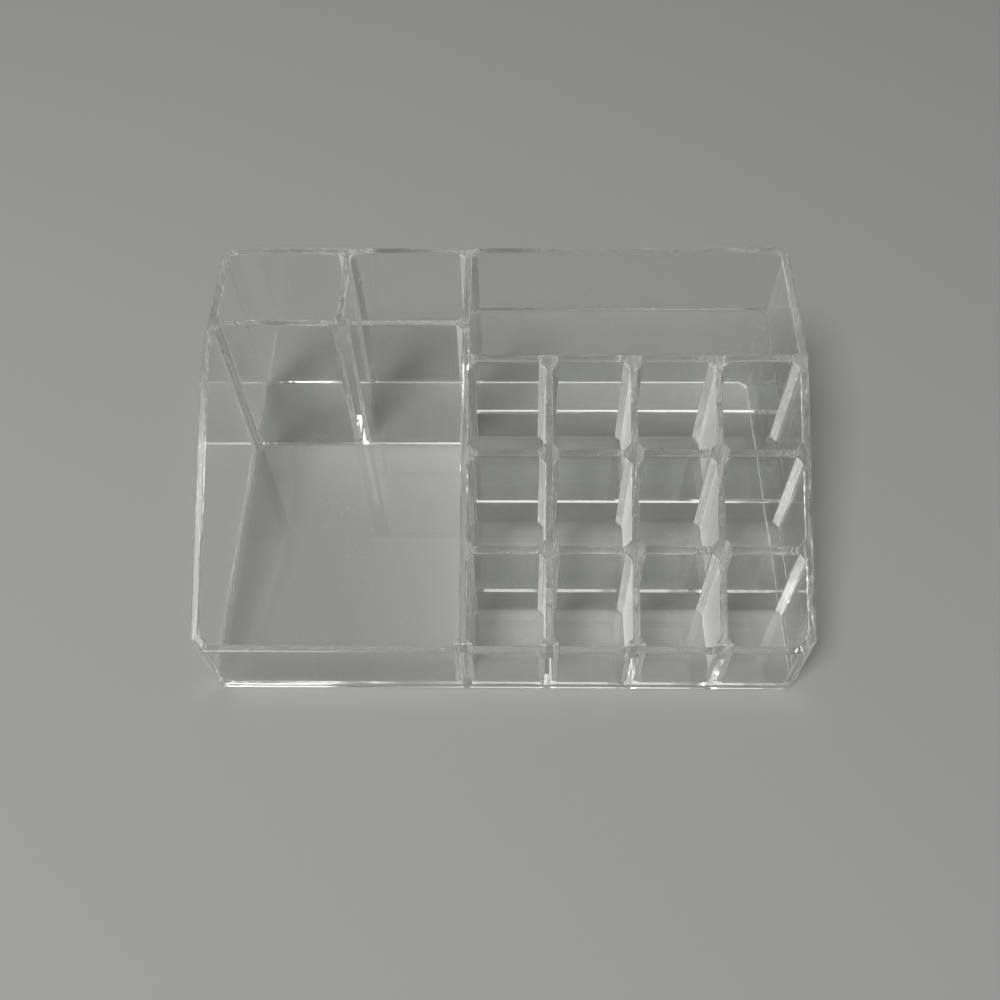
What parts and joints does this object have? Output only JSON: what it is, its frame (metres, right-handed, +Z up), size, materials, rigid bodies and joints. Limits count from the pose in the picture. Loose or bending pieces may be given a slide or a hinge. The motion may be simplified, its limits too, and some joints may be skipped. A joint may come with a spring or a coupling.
{
  "type": "vanity organizer",
  "caption": "Clear acrylic tabletop vanity organizer with a low front tray, tall rear bins and a stepped grid of lipstick slots, its side walls sloping down to the front.",
  "frame": {"origin": "middle of the footprint, on the surface the organizer stands on", "axes": "+Z up, +X to the right as seen from the front, the low front wall faces -Y"},
  "size_m": [0.222, 0.152, 0.0795],
  "materials": {
    "outer_acrylic": "polished clear acrylic",
    "inner_acrylic": "polished clear acrylic",
    "floor_acrylic": "polished clear acrylic",
    "strip_acrylic": "polished clear acrylic"
  },
  "bodies": {
    "root": {"front_panel": "outer_acrylic", "back_panel": "outer_acrylic", "left_panel": "outer_acrylic", "right_panel": "outer_acrylic", "front_left_corner": "outer_acrylic", "front_right_corner": "outer_acrylic", "back_left_corner": "outer_acrylic", "back_right_corner": "outer_acrylic", "centre_wall": "inner_acrylic", "cross_wall": "inner_acrylic", "bin_divider": "inner_acrylic", "front_row_wall": "inner_acrylic", "middle_row_wall": "inner_acrylic", "rear_row_wall": "inner_acrylic", "front_slot_divider_1": "inner_acrylic", "front_slot_divider_2": "inner_acrylic", "front_slot_divider_3": "inner_acrylic", "middle_slot_divider_1": "inner_acrylic", "middle_slot_divider_2": "inner_acrylic", "middle_slot_divider_3": "inner_acrylic", "rear_slot_divider_1": "inner_acrylic", "rear_slot_divider_2": "inner_acrylic", "rear_slot_divider_3": "inner_acrylic", "tray_floor": "floor_acrylic", "front_slot_floor": "floor_acrylic", "middle_slot_floor": "floor_acrylic", "rear_slot_floor": "floor_acrylic", "shelf_floor": "floor_acrylic", "front_slot_strips": "strip_acrylic", "middle_slot_strips": "strip_acrylic", "rear_slot_strips": "strip_acrylic", "tray_strips": "strip_acrylic", "bin_strips": "strip_acrylic", "shelf_strips": "strip_acrylic"}
  },
  "joints": []
}
